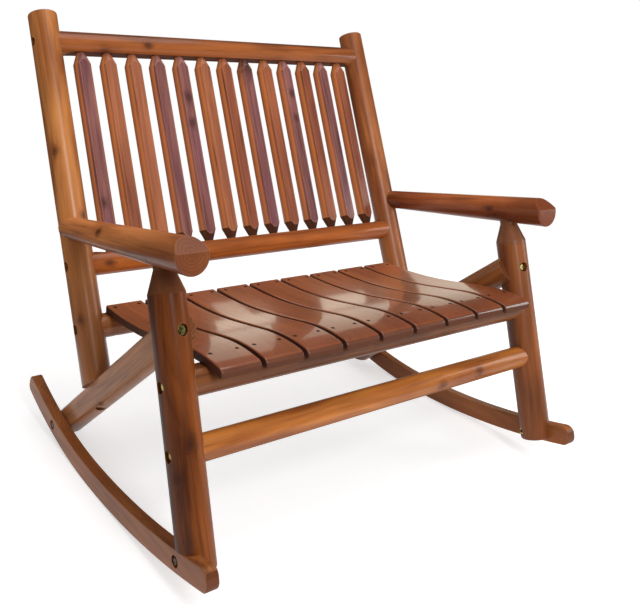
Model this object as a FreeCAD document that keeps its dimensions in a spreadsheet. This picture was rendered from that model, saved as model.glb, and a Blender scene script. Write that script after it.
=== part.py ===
import FreeCAD, Part
import math
import os
import Sketcher

# A log rocking bench: two raked pairs of round posts on a pair of curved rockers, a seat of nine
# shaped slats, a back of thirteen turned spindles and two log arms. Millimetres, +Z up, front at -Y.
# Drawing Y is measured from the line where the rockers touch the floor; "frame_shift" then moves every
# sub-part so that the origin lies on the floor under the middle of the plan.

SIZES = {
    # rockers: two arcs, tangent where they touch the floor
    "rocker_front_radius": 1855,
    "rocker_rear_radius": 1044,
    "rocker_depth": 48,
    "rocker_thickness": 27.5,
    "rocker_inner_face": 522,
    "rocker_front_reach": 531.4,
    "rocker_rear_reach": 386.6,
    "rocker_front_round": 20,
    "rocker_rear_round": 16,
    "rocker_edge_round": 2.5,
    # front posts: place at floor level, lean from upright, shoulder, tenon and foot
    "front_post_radius": 37.4,
    "front_post_offset": 515,
    "front_post_line": -461.4,
    "front_post_lean": 18.95,
    "front_post_foot": 61,
    "front_post_shoulder": 551,
    "front_post_neck_radius": 21,
    "front_post_neck_show": 4,
    "front_post_tenon_length": 40,
    "foot_edge_round": 4,
    # back posts
    "back_post_radius": 35.2,
    "back_post_offset": 504.5,
    "back_post_line": -51.1,
    "back_post_lean": 24.88,
    "back_post_top": 1043,
    "back_post_top_round": 5,
    "saddle_ear": 24,
    # arms: tapered logs
    "arm_offset": 517.6,
    "arm_height": 591.1,
    "arm_tilt": 9.09,
    "arm_front": 366.4,
    "arm_front_radius": 36.3,
    "arm_rear_radius": 25.6,
    "arm_end_round": 4,
    "arm_bevel_setback": 27,
    "arm_bevel_angle": 47,
    # side braces
    "brace_radius": 35,
    "brace_offset": 495,
    "brace_height": 233.6,
    "brace_slope": 40.36,
    "brace_tail": 30,
    "brace_floor_gap": 6,
    # rails
    "back_top_rail_height": 976,
    "back_top_rail_radius": 30,
    "back_bottom_rail_height": 473,
    "back_bottom_rail_radius": 28.4,
    "rear_seat_rail_radius": 29,
    "front_seat_rail_radius": 31,
    "stretcher_height": 266,
    "stretcher_radius": 27,
    "rail_flat_depth": 5,
    "seat_flat_depth": 3,
    "rail_nut_turn": 70,
    "rail_flat_margin": 37,
    "flat_run_out": 105,
    # back spindles
    "spindle_count": 13,
    "spindle_pitch": 70.1,
    "spindle_radius": 22,
    "spindle_cone_length": 29,
    "spindle_tenon_radius": 10.5,
    "spindle_tenon_length": 15,
    "spindle_flat": 17.5,
    # seat slats
    "slat_count": 9,
    "slat_pitch": 103.3,
    "slat_width": 93,
    "slat_thickness": 20,
    "seat_rear_reach": 114.6,
    "seat_rear_height": 385,
    "seat_rear_fall": 1.15,
    "seat_hollow_radius": 1280,
    "seat_rise": 11.1,
    "seat_straight": 100,
    "seat_crown_radius": 430,
    "seat_front_reach": 397.4,
    "slat_nose_round": 14,
    "slat_edge_round": 3,
    # bolts, washers, nuts and screws
    "bolt_radius": 4,
    "bolt_length": 100,
    "bolt_head_radius": 7.5,
    "bolt_head_height": 5.3,
    "washer_radius": 10.5,
    "washer_thickness": 2,
    "counterbore_radius": 12,
    "counterbore_depth": 14,
    "barrel_nut_radius": 7,
    "barrel_nut_length": 18,
    "barrel_nut_end": 12,
    "brace_bolt_offset": 508,
    "brace_bolt_length": 90,
    "arm_bolt_offset": 511,
    "foot_bolt_place": -412.4,
    "foot_bolt_length": 52,
    "rear_bolt_place": 214.6,
    "rear_bolt_length": 76,
    "rocker_bore_depth": 8,
    "sleeve_nut_radius": 8,
    "sleeve_nut_length": 14,
    "sleeve_bore_radius": 10.5,
    "screw_radius": 2.2,
    "screw_length": 32,
    "screw_head_radius": 4.4,
    "screw_head_height": 3.4,
    "screw_spacing": 62,
    "screw_head_sink": 0.6,
    "rear_screw_place": 94.6,
    # clearances between mating pieces
    "fit_gap": 0.2,
    "seat_gap": 0.3,
    "bolt_gap": 0.5,
    "thread_gap": 0.05,
}

doc = FreeCAD.newDocument("RockingBench")
sheet = doc.addObject("Spreadsheet::Sheet", "Sizes")
for row, (alias, value) in enumerate(SIZES.items(), start=1):
    sheet.set("A%d" % row, alias)
    sheet.set("B%d" % row, str(value))
    sheet.setAlias("B%d" % row, alias)
worked = doc.addObject("Spreadsheet::Sheet", "Worked")
doc.recompute()

UP = FreeCAD.Vector(0, 0, 1)
ALONG_X = FreeCAD.Vector(1, 0, 0)
SIDES = {"left": -1, "right": 1}
TOUCH = 0.02
SEARCH_STEPS = 60
subparts = []
worked_names = []


# Sizes

def size(alias):
    return float(sheet.get(alias))


def work(alias, value):
    # keeps a length that follows from the driving sizes in a cell of its own; returns its formula
    if alias not in worked_names:
        worked_names.append(alias)
        row = len(worked_names)
        worked.set("A%d" % row, alias)
        worked.set("B%d" % row, repr(float(value)))
        worked.setAlias("B%d" % row, alias)
        worked.recompute()
    return "Worked." + alias


def worth(formula):
    return float(sheet.evalExpression(formula))


def bind(thing, **formulas):
    for name, formula in formulas.items():
        thing.setExpression(name, formula)


# Directions and lines in the bench's side plane

def side_vector(y, z):
    return FreeCAD.Vector(0, y, z)


def leaning(angle):
    return side_vector(math.sin(math.radians(angle)), math.cos(math.radians(angle)))


def falling(angle):
    return side_vector(math.cos(math.radians(angle)), -math.sin(math.radians(angle)))


def turn_between(first, second):
    return first.y * second.z - first.z * second.y


def line_crossing(start, along, other_start, other_along):
    # crossing point of two lines in the side plane
    share = turn_between(other_start - start, other_along) / turn_between(along, other_along)
    return start + along * share


def on_line_at_height(start, along, height):
    return start + along * ((height - start.z) / along.z)


def at_side(point, offset):
    return FreeCAD.Vector(offset, point.y, point.z)


front_axis = leaning(size("front_post_lean"))
back_axis = leaning(size("back_post_lean"))
brace_axis = falling(size("brace_slope"))
brace_up = FreeCAD.Vector(0, -brace_axis.z, brace_axis.y)
arm_forward = falling(size("arm_tilt")) * -1
arm_up = FreeCAD.Vector(0, arm_forward.z, -arm_forward.y)
back_normal = FreeCAD.Vector(0, -back_axis.z, back_axis.y)
front_rearward = FreeCAD.Vector(0, front_axis.z, -front_axis.y)

front_line = side_vector(size("front_post_line"), 0)
back_line = side_vector(size("back_post_line"), 0)
brace_line = side_vector(0, size("brace_height"))
arm_line = side_vector(0, size("arm_height"))

front_brace_meet = line_crossing(front_line, front_axis, brace_line, brace_axis)
back_brace_meet = line_crossing(back_line, back_axis, brace_line, brace_axis)
front_arm_meet = line_crossing(front_line, front_axis, arm_line, arm_forward)
back_arm_meet = line_crossing(back_line, back_axis, arm_line, arm_forward)


# The rockers' curve: height of its underside above the floor at a place along the bench

def rocker_underside(y):
    radius = size("rocker_front_radius") if y < 0 else size("rocker_rear_radius")
    return radius - math.sqrt(radius ** 2 - y ** 2)


def rocker_middle(y):
    return side_vector(y, rocker_underside(y) + size("rocker_depth") / 2)


# The seat's curve: a hollow, a straight rise and a crown, drawn from the rear edge forwards.
# An angle is the curve's rise there; rise_forward and rise_normal are its directions.

def rise_forward(angle):
    return side_vector(-math.cos(angle), math.sin(angle))


def rise_normal(angle):
    return side_vector(math.sin(angle), math.cos(angle))


seat_rear_angle = -math.radians(size("seat_rear_fall"))
seat_rise_angle = math.radians(size("seat_rise"))
seat_rear_top = side_vector(size("seat_rear_reach"), size("seat_rear_height"))
hollow_centre = seat_rear_top + rise_normal(seat_rear_angle) * size("seat_hollow_radius")
rise_start = hollow_centre - rise_normal(seat_rise_angle) * size("seat_hollow_radius")
rise_end = rise_start + rise_forward(seat_rise_angle) * size("seat_straight")
crown_centre = rise_end - rise_normal(seat_rise_angle) * size("seat_crown_radius")
seat_front_angle = math.asin((-size("seat_front_reach") - crown_centre.y) / size("seat_crown_radius"))


def seat_surface(y, drop):
    # the point and the rise angle of the seat's curve, lowered square to itself by drop
    if y > (rise_start - rise_normal(seat_rise_angle) * drop).y:
        radius = size("seat_hollow_radius") + drop
        angle = math.asin((hollow_centre.y - y) / radius)
        return hollow_centre - rise_normal(angle) * radius, angle
    if y > (rise_end - rise_normal(seat_rise_angle) * drop).y:
        start = rise_start - rise_normal(seat_rise_angle) * drop
        run = (start.y - y) / math.cos(seat_rise_angle)
        return start + rise_forward(seat_rise_angle) * run, seat_rise_angle
    radius = size("seat_crown_radius") - drop
    angle = math.asin((y - crown_centre.y) / radius)
    return crown_centre + rise_normal(angle) * radius, angle


def rail_under_seat(post_line, post_axis, rail_radius):
    # a seat rail's axis lies on the posts' axes, and its planed top lies under the slats
    y = post_line.y
    for _ in range(SEARCH_STEPS):
        contact, angle = seat_surface(y, size("slat_thickness"))
        flat = rail_radius - size("seat_flat_depth") + size("seat_gap")
        middle = contact - rise_normal(angle) * flat
        y -= middle.y - on_line_at_height(post_line, post_axis, middle.z).y
    return middle, angle, contact


rear_seat_rail_middle, rear_rail_angle, rear_rail_contact = rail_under_seat(
    back_line, back_axis, size("rear_seat_rail_radius"))
front_seat_rail_middle, front_rail_angle, front_rail_contact = rail_under_seat(
    front_line, front_axis, size("front_seat_rail_radius"))
back_top_rail_middle = on_line_at_height(back_line, back_axis, size("back_top_rail_height"))
back_bottom_rail_middle = on_line_at_height(back_line, back_axis, size("back_bottom_rail_height"))
stretcher_middle = on_line_at_height(front_line, front_axis, size("stretcher_height"))

# The origin: the floor under the middle of the plan, which runs from the rockers' rounded front ends to
# the rounded tops of the back posts.
front_round, top_round = size("rocker_front_round"), size("back_post_top_round")
nose_radius = size("rocker_front_radius") - front_round
nose_turn = math.asin(size("rocker_front_reach") / size("rocker_front_radius"))
nose_turn -= math.asin(front_round / nose_radius)
plan_front = -nose_radius * math.sin(nose_turn) - front_round
plan_rear = on_line_at_height(back_line, back_axis, size("back_post_top")).y + top_round
plan_rear += (size("back_post_radius") - top_round) * back_axis.z - top_round * back_axis.y
frame_shift = FreeCAD.Placement(side_vector(-(plan_front + plan_rear) / 2, 0), FreeCAD.Rotation())


# Solids

def rod(radius, length, start, along):
    piece = doc.addObject("Part::Cylinder", "Rod")
    bind(piece, Radius=radius, Height=length)
    piece.Placement = FreeCAD.Placement(start, FreeCAD.Rotation(UP, along))
    return piece


def taper(start_radius, end_radius, length, start, along):
    piece = doc.addObject("Part::Cone", "Taper")
    bind(piece, Radius1=start_radius, Radius2=end_radius, Height=length)
    piece.Placement = FreeCAD.Placement(start, FreeCAD.Rotation(UP, along))
    return piece


def block(point, normal, run, width, depth):
    # a block along the bench's X, its bottom face centred on the point and square to the normal
    piece = doc.addObject("Part::Box", "Block")
    bind(piece, Length=run, Width=width, Height=depth)
    across = normal.cross(ALONG_X)
    corner = point - ALONG_X * (worth(run) / 2) - across * (worth(width) / 2)
    piece.Placement = FreeCAD.Placement(corner, FreeCAD.Rotation(ALONG_X, across, normal, "ZXY"))
    return piece


def cut(piece, *tools):
    for tool in tools:
        result = doc.addObject("Part::Cut", "Cut")
        result.Base = piece
        result.Tool = tool
        piece = result
    return piece


def common(piece, other):
    result = doc.addObject("Part::Common", "Common")
    result.Base = piece
    result.Tool = other
    return result


def fuse(*pieces):
    result = doc.addObject("Part::MultiFuse", "Fuse")
    result.Shapes = list(pieces)
    return result


def group(pieces):
    result = doc.addObject("Part::Compound", "Group")
    result.Links = list(pieces)
    return result


def sub_part(label, piece):
    piece.Label = label
    piece.Placement = frame_shift.multiply(piece.Placement)
    subparts.append(piece)
    return piece


# Sketches

def origin_plane(body, role):
    return next(feature for feature in body.Origin.OriginFeatures if feature.Role == role)


def new_body(name):
    return doc.addObject("PartDesign::Body", name)


def new_sketch(body, role):
    sketch = body.newObject("Sketcher::SketchObject", body.Name + "Sketch")
    sketch.AttachmentSupport = [(origin_plane(body, role), "")]
    sketch.MapMode = "FlatFace"
    return sketch


def flat_point(first, second):
    return FreeCAD.Vector(first, second, 0)


def bind_datum(sketch, name, constraint, formula):
    # a dimension of a sketch that follows a formula
    sketch.renameConstraint(sketch.addConstraint(constraint), name)
    sketch.setExpression("Constraints." + name, formula)


def turned(name, outline, start, along):
    # a solid of revolution: the outline lists each corner's radius and height as formulas, and begins
    # and ends on the axis
    body = new_body(name)
    sketch = new_sketch(body, "XZ_Plane")
    corners = [flat_point(worth(radius), worth(height)) for radius, height in outline]
    for number, corner in enumerate(corners):
        sketch.addGeometry(Part.LineSegment(corner, corners[(number + 1) % len(corners)]), False)
    for number in range(len(corners)):
        sketch.addConstraint(Sketcher.Constraint("Coincident", number, 2, (number + 1) % len(corners), 1))
    for number, (radius, height) in enumerate(outline):
        for letter, kind, axis, formula in (("r", "DistanceX", -2, radius), ("h", "DistanceY", -1, height)):
            if worth(formula) == 0:
                sketch.addConstraint(Sketcher.Constraint("PointOnObject", number, 1, axis))
                continue
            bind_datum(sketch, "%s%d" % (letter, number),
                       Sketcher.Constraint(kind, -1, 1, number, 1, worth(formula)), formula)
    revolution = body.newObject("PartDesign::Revolution", name + "Turning")
    revolution.Profile = sketch
    revolution.ReferenceAxis = (sketch, ["V_Axis"])
    revolution.Angle = 360
    body.Placement = FreeCAD.Placement(start, FreeCAD.Rotation(UP, along))
    return body


def round_edges(body, radius, chosen):
    # rounds the edges of the body's tip that the test chooses
    doc.recompute()
    base = body.Tip
    names = ["Edge%d" % (number + 1) for number, edge in enumerate(base.Shape.Edges) if chosen(edge)]
    fillet = body.newObject("PartDesign::Fillet", body.Name + "Round")
    fillet.Base = (base, names)
    bind(fillet, Radius=radius)
    return fillet


def is_rim_at(height):
    return lambda edge: all(abs(vertex.Point.z - height) < TOUCH for vertex in edge.Vertexes) and \
        isinstance(edge.Curve, Part.Circle)


def planed_flat(middle, outward, distance, half_run):
    # cutter for a planed flat along a rail, at a distance from its axis, that runs out in a curve at
    # each end and is tall enough to clear the rail's round
    reach = worth(distance)
    run_out = size("flat_run_out")
    turn = math.acos(1 - reach / run_out)
    slope = flat_point(run_out * math.sin(turn), 0)
    ends = [flat_point(-half_run, reach), flat_point(half_run, reach)]
    centres = [end + flat_point(0, run_out) for end in ends]
    tips = [flat_point(-half_run, 2 * reach) - slope, flat_point(half_run, 2 * reach) + slope]
    quarter = math.pi / 2
    sketch = doc.addObject("Sketcher::SketchObject", "FlatSketch")
    sketch.addGeometry([
        Part.LineSegment(ends[0], ends[1]),
        Part.ArcOfCircle(Part.Circle(centres[1], UP, run_out), -quarter, turn - quarter),
        Part.LineSegment(tips[1], tips[0]),
        Part.ArcOfCircle(Part.Circle(centres[0], UP, run_out), -quarter - turn, -quarter),
    ], False)
    sketch.addConstraint([
        Sketcher.Constraint("Tangent", 0, 2, 1, 1),
        Sketcher.Constraint("Coincident", 1, 2, 2, 1),
        Sketcher.Constraint("Coincident", 2, 2, 3, 1),
        Sketcher.Constraint("Tangent", 3, 2, 0, 1),
        Sketcher.Constraint("Horizontal", 0),
        Sketcher.Constraint("Horizontal", 2),
        Sketcher.Constraint("DistanceX", -1, 1, 0, 2, half_run),
        Sketcher.Constraint("DistanceX", 0, 1, 0, 2, 2 * half_run),
        Sketcher.Constraint("Equal", 1, 3),
    ])
    bind_datum(sketch, "flat", Sketcher.Constraint("DistanceY", -1, 1, 0, 1, reach), distance)
    bind_datum(sketch, "height", Sketcher.Constraint("DistanceY", 0, 2, 1, 2, reach), distance)
    bind_datum(sketch, "runOut", Sketcher.Constraint("Radius", 1, run_out), "Sizes.flat_run_out")
    sketch.Placement = FreeCAD.Placement(
        middle, FreeCAD.Rotation(ALONG_X, outward, ALONG_X.cross(outward), "ZXY"))
    cutter = doc.addObject("Part::Extrusion", "FlatCutter")
    cutter.Base = sketch
    cutter.DirMode = "Normal"
    cutter.Symmetric = True
    cutter.Solid = True
    bind(cutter, LengthFwd="4 * (%s)" % distance)
    return cutter


# Fasteners

def bolt_and_washer(seat, along, length):
    # a hexagon-headed bolt on a washer, and the stepped hole that they need; the seat is the
    # bottom of the counterbore
    under_head = seat - along * size("washer_thickness")
    head = doc.addObject("Part::Prism", "BoltHead")
    head.Polygon = 6
    bind(head, Circumradius="Sizes.bolt_head_radius", Height="Sizes.bolt_head_height")
    head_top = under_head - along * size("bolt_head_height")
    head.Placement = FreeCAD.Placement(head_top, FreeCAD.Rotation(UP, along))
    shank = rod("Sizes.bolt_radius", length, under_head, along)
    ring = rod("Sizes.washer_radius", "Sizes.washer_thickness", under_head, along)
    ring_hole = rod("Sizes.bolt_radius + Sizes.bolt_gap", "Sizes.washer_thickness", under_head, along)
    bore = rod("Sizes.counterbore_radius", "4 * Sizes.counterbore_depth", seat, along * -1)
    passage = rod("Sizes.bolt_radius + Sizes.bolt_gap", length, seat, along)
    return fuse(head, shank), cut(ring, ring_hole), fuse(bore, passage)


def barrel_nut(seat, along, length, outward):
    # a round cross nut near the bolt's end, and its hole, open on the outward side
    middle = seat + along * (worth(length) - size("washer_thickness") - size("barrel_nut_end"))
    start = middle - outward * (size("barrel_nut_length") / 2)
    nut = rod("Sizes.barrel_nut_radius", "Sizes.barrel_nut_length", start, outward)
    thread_start = middle - along * (2 * size("barrel_nut_radius"))
    thread = rod("Sizes.bolt_radius + Sizes.thread_gap", "4 * Sizes.barrel_nut_radius", thread_start, along)
    hole = rod("Sizes.barrel_nut_radius + Sizes.fit_gap", "2 * Sizes.back_post_radius",
               start - outward * size("fit_gap"), outward)
    return cut(nut, thread), hole


def sleeve_nut(seat, along, length):
    # a round nut on the bolt's end, in a wider bore that is open at the far side
    tip = seat + along * (worth(length) - size("washer_thickness"))
    far_end = tip + along * size("washer_thickness")
    near_end = far_end - along * size("sleeve_nut_length")
    nut = rod("Sizes.sleeve_nut_radius", "Sizes.sleeve_nut_length", near_end, along)
    thread = rod("Sizes.bolt_radius + Sizes.thread_gap", "Sizes.sleeve_nut_length", near_end, along)
    bore_start = near_end - along * size("fit_gap")
    bore = rod("Sizes.sleeve_bore_radius", "4 * Sizes.sleeve_nut_length", bore_start, along)
    return cut(nut, thread), bore


class Joinery:
    # collects each kind of fastener and the holes that each wooden piece needs
    def __init__(self):
        self.pieces = {}
        self.holes = {}

    def add(self, kind, piece):
        self.pieces.setdefault(kind, []).append(piece)

    def drill(self, hole, names):
        for name in names:
            self.holes.setdefault(name, []).append(hole)

    def long_bolt(self, kind, seat, along, length, nut_outward, names):
        bolt, washer, hole = bolt_and_washer(seat, along, length)
        nut, nut_hole = barrel_nut(seat, along, length, nut_outward)
        self.add(kind + "_bolts", bolt)
        self.add(kind + "_washers", washer)
        self.add(kind + "_barrel_nuts", nut)
        self.drill(hole, names)
        self.drill(nut_hole, names[-1:])

    def sleeve_bolt(self, kind, seat, along, length, names):
        bolt, washer, hole = bolt_and_washer(seat, along, length)
        nut, nut_bore = sleeve_nut(seat, along, length)
        self.add(kind + "_bolts", bolt)
        self.add(kind + "_washers", washer)
        self.add(kind + "_sleeve_nuts", nut)
        self.drill(hole, names)
        self.drill(nut_bore, names[-1:])


joinery = Joinery()


def rail_bolts():
    back = ("back_post", "back_post_offset", "back_post_radius")
    front = ("front_post", "front_post_offset", "front_post_radius")
    # the back rails' nuts are reached from behind, the others from below
    nut_turn = math.radians(size("rail_nut_turn"))
    back_nut = (back_normal * math.sin(nut_turn) + back_axis * math.cos(nut_turn)) * -1
    rails = (
        ("back_top_rail", back_top_rail_middle, back, back_nut),
        ("back_bottom_rail", back_bottom_rail_middle, back, back_nut),
        ("rear_seat_rail", rear_seat_rail_middle, back, back_axis * -1),
        ("front_seat_rail", front_seat_rail_middle, front, front_axis * -1),
        ("front_stretcher", stretcher_middle, front, front_axis * -1),
    )
    for hand, side in SIDES.items():
        for rail, middle, (post, offset, radius), nut_outward in rails:
            reach = size(offset) + size(radius) - size("counterbore_depth")
            joinery.long_bolt("rail", at_side(middle, side * reach), ALONG_X * -side, "Sizes.bolt_length",
                              nut_outward, (post + "_" + hand, rail))


def brace_bolts(hand, side):
    reach = size("front_post_radius") - size("counterbore_depth")
    seat = at_side(front_brace_meet - front_rearward * reach, side * size("brace_bolt_offset"))
    joinery.long_bolt("brace", seat, front_rearward, "Sizes.brace_bolt_length", brace_up * -1,
                      ("front_post_" + hand, "side_brace_" + hand))


def back_post_bolts(hand, side):
    reach = size("brace_radius") / abs(back_axis.dot(brace_up)) - size("counterbore_depth")
    seat = at_side(back_brace_meet - back_axis * reach, side * size("back_post_offset"))
    joinery.long_bolt("back_post", seat, back_axis, "Sizes.bolt_length", back_normal * -1,
                      ("side_brace_" + hand, "back_post_" + hand))


def arm_bolts(hand, side):
    reach = size("back_post_radius") / abs(arm_forward.dot(back_normal)) - size("counterbore_depth")
    seat = at_side(back_arm_meet - arm_forward * reach, side * size("arm_bolt_offset"))
    joinery.long_bolt("arm", seat, arm_forward, "Sizes.bolt_length", arm_up * -1,
                      ("back_post_" + hand, "arm_" + hand))


def rocker_bolts(hand, side):
    seat_offset = side * (size("rocker_inner_face") + size("rocker_thickness") - size("rocker_bore_depth"))
    for kind, place, length, piece in (
            ("foot", "foot_bolt_place", "Sizes.foot_bolt_length", "front_post_"),
            ("rocker_rear", "rear_bolt_place", "Sizes.rear_bolt_length", "side_brace_")):
        seat = at_side(rocker_middle(size(place)), seat_offset)
        joinery.sleeve_bolt(kind, seat, ALONG_X * -side, length, ("rocker_" + hand, piece + hand))


def seat_screw(top, angle, offset):
    # a countersunk screw through a slat into a seat rail, and its hole
    inward = rise_normal(angle) * -1
    head_top = at_side(top + inward * size("screw_head_sink"), offset)
    neck = head_top + inward * size("screw_head_height")
    head_radius, radius, height = "Sizes.screw_head_radius", "Sizes.screw_radius", "Sizes.screw_head_height"
    eased = "%s + Sizes.thread_gap"
    head = taper(head_radius, radius, height, head_top, inward)
    shank = rod(radius, "Sizes.screw_length", neck, inward)
    sink = taper(eased % head_radius, eased % radius, height, head_top, inward)
    entry = rod(eased % head_radius, "2 * " + height, head_top, inward * -1)
    pilot = rod(eased % radius, "Sizes.screw_length + Sizes.fit_gap", neck, inward)
    return fuse(head, shank), fuse(sink, entry, pilot)


def slat_offsets():
    count = int(size("slat_count"))
    return [(number - (count - 1) / 2) * size("slat_pitch") for number in range(count)]


def seat_screws():
    rows = (("front_seat_rail", front_rail_contact.y), ("rear_seat_rail", size("rear_screw_place")))
    for number, offset in enumerate(slat_offsets(), start=1):
        for rail, y in rows:
            top, angle = seat_surface(y, 0)
            for half in (-0.5, 0.5):
                screw, hole = seat_screw(top, angle, offset + half * size("screw_spacing"))
                joinery.add("seat_screws", screw)
                joinery.drill(hole, ("seat_slat_%d" % number, rail))


def plan_joinery():
    rail_bolts()
    for hand, side in SIDES.items():
        brace_bolts(hand, side)
        back_post_bolts(hand, side)
        arm_bolts(hand, side)
        rocker_bolts(hand, side)
    seat_screws()


def drilled(name, piece):
    # makes the holes of a piece's own fasteners, which never meet one another within a set
    holes = joinery.holes.get(name, [])
    return cut(piece, fuse(*holes)) if len(holes) > 1 else cut(piece, *holes)


# Posts, arms and braces

def cope(radius, point, along):
    # a log's space along its whole length, for the ends that are shaped to fit round it
    length = work("cope_length", 2 * size("back_post_top"))
    return rod("Sizes.%s + Sizes.fit_gap" % radius, length, point, along)


def post_cope(post_line, post_axis, radius, offset):
    below_floor = on_line_at_height(post_line, post_axis, -size("brace_height"))
    return cope(radius, at_side(below_floor, offset), post_axis)


def front_post(hand, side):
    foot = on_line_at_height(front_line, front_axis, size("front_post_foot"))
    shoulder = (size("front_post_shoulder") - size("front_post_foot")) / front_axis.z
    arm_share = (back_arm_meet - front_arm_meet).Length / arm_length()
    arm_radius = size("arm_rear_radius") + (size("arm_front_radius") - size("arm_rear_radius")) * arm_share
    under_arm = (front_arm_meet - foot).Length - arm_radius / abs(front_axis.dot(arm_up))
    work("front_post_to_shoulder", shoulder)
    work("front_post_to_arm", under_arm)
    radius, neck = "Sizes.front_post_radius", "Sizes.front_post_neck_radius"
    low, high = "Worked.front_post_to_shoulder", "Worked.front_post_to_arm - Sizes.front_post_neck_show"
    end = "Worked.front_post_to_arm + Sizes.front_post_tenon_length"
    body = turned("FrontPost" + hand.title(), [
        ("0", "0"), (radius, "0"), (radius, low), (neck, high), (neck, end), ("0", end),
    ], at_side(foot, side * size("front_post_offset")), front_axis)
    round_edges(body, "Sizes.foot_edge_round", is_rim_at(0))
    lap_reach = size("rocker_inner_face") - size("fit_gap") + size("front_post_offset") / 2
    lap_foot = FreeCAD.Vector(side * lap_reach, front_line.y, -size("front_post_radius"))
    lap = block(lap_foot, UP, "Sizes.front_post_offset", "8 * Sizes.front_post_radius",
                "Sizes.front_post_shoulder")
    above_rocker = rod("Sizes.rocker_front_radius - Sizes.rocker_depth - Sizes.fit_gap",
                       "3 * Sizes.front_post_offset",
                       FreeCAD.Vector(-1.5 * size("front_post_offset"), 0, size("rocker_front_radius")), ALONG_X)
    name = "front_post_" + hand
    sub_part(name, drilled(name, cut(body, cut(lap, above_rocker))))


def back_post(hand, side):
    length = (size("back_post_top") - back_brace_meet.z) / back_axis.z
    body = turned("BackPost" + hand.title(), [
        ("0", "0"), ("Sizes.back_post_radius", "0"),
        ("Sizes.back_post_radius", work("back_post_length", length)), ("0", "Worked.back_post_length"),
    ], at_side(back_brace_meet, side * size("back_post_offset")), back_axis)
    round_edges(body, "Sizes.back_post_top_round", is_rim_at(length))
    ear_reach = size("rocker_inner_face") + size("back_post_radius")
    ear = block(at_side(back_brace_meet + brace_up * size("saddle_ear"), side * ear_reach), brace_up * -1,
                "2 * Sizes.back_post_radius", "6 * Sizes.back_post_radius", "4 * Sizes.back_post_radius")
    name = "back_post_" + hand
    saddle = cope("brace_radius", at_side(front_brace_meet, side * size("brace_offset")), brace_axis)
    sub_part(name, drilled(name, cut(body, saddle, ear)))


def arm_length():
    return (back_arm_meet.y + size("arm_front")) / abs(arm_forward.y)


def arm(hand, side):
    start = at_side(back_arm_meet, side * size("arm_offset"))
    length = work("arm_length", arm_length())
    body = turned("Arm" + hand.title(), [
        ("0", "0"), ("Sizes.arm_rear_radius", "0"), ("Sizes.arm_front_radius", length), ("0", length),
    ], start, arm_forward)
    round_edges(body, "Sizes.arm_end_round", is_rim_at(arm_length()))
    bevel_angle = math.radians(size("arm_bevel_angle"))
    bevel_normal = arm_forward * math.sin(bevel_angle) + arm_up * math.cos(bevel_angle)
    top_edge = start + arm_forward * (arm_length() - size("arm_bevel_setback")) + arm_up * size("arm_front_radius")
    bevel = block(top_edge, bevel_normal, "4 * Sizes.arm_front_radius", "4 * Sizes.arm_front_radius",
                  "2 * Sizes.arm_front_radius")
    mortise_start = at_side(front_arm_meet - front_axis * (2 * size("arm_front_radius")),
                            side * size("front_post_offset"))
    mortise_depth = work("mortise_depth", 2 * size("arm_front_radius") + tenon_top())
    mortise = rod("Sizes.front_post_neck_radius + Sizes.fit_gap", mortise_depth, mortise_start, front_axis)
    fish_mouth = post_cope(back_line, back_axis, "back_post_radius", side * size("back_post_offset"))
    name = "arm_" + hand
    sub_part(name, drilled(name, cut(body, fish_mouth, bevel, mortise)))


def tenon_top():
    # how far the front post's tenon, with its clearance, reaches past the arm's axis
    foot = on_line_at_height(front_line, front_axis, size("front_post_foot"))
    reach = worth("Worked.front_post_to_arm + Sizes.front_post_tenon_length + Sizes.fit_gap")
    return reach - (front_arm_meet - foot).Length


def side_brace(hand, side):
    start = at_side(front_brace_meet, side * size("brace_offset"))
    bolt_place = rocker_middle(size("rear_bolt_place"))
    length = (bolt_place - front_brace_meet).dot(brace_axis) + size("brace_tail")
    log = rod("Sizes.brace_radius", work("brace_length", length), start, brace_axis)
    plane_reach = size("rocker_inner_face") - size("fit_gap") + size("brace_radius")
    plane = block(FreeCAD.Vector(side * plane_reach, 0, -size("brace_height")), UP, "2 * Sizes.brace_radius",
                  "6 * Sizes.brace_height", "6 * Sizes.brace_height")
    fish_mouth = post_cope(front_line, front_axis, "front_post_radius", side * size("front_post_offset"))
    above_floor = rod("Sizes.rocker_rear_radius - Sizes.brace_floor_gap", "3 * Sizes.front_post_offset",
                      FreeCAD.Vector(-1.5 * size("front_post_offset"), 0, size("rocker_rear_radius")), ALONG_X)
    name = "side_brace_" + hand
    sub_part(name, drilled(name, common(cut(log, fish_mouth, plane), above_floor)))


# Rails and spindles

def rail(name, middle, radius, offset, copes, *shaping):
    # a rail runs from post axis to post axis and is shaped at each end to fit round the posts
    start = at_side(middle, -size(offset))
    log = rod("Sizes." + radius, "2 * Sizes." + offset, start, ALONG_X)
    sub_part(name, drilled(name, cut(log, *copes, *shaping)))


def spindle_offsets():
    count = int(size("spindle_count"))
    return [(number - (count - 1) / 2) * size("spindle_pitch") for number in range(count)]


def spindle_holes(middle, radius, inward):
    # a row of blind holes in a rail's planed flat, for the spindles' tenons
    start = middle - inward * size(radius)
    depth = "Sizes.rail_flat_depth + Sizes.spindle_tenon_length + Sizes.fit_gap"
    return group([rod("Sizes.spindle_tenon_radius + Sizes.fit_gap", depth, at_side(start, offset), inward)
                  for offset in spindle_offsets()])


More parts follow.
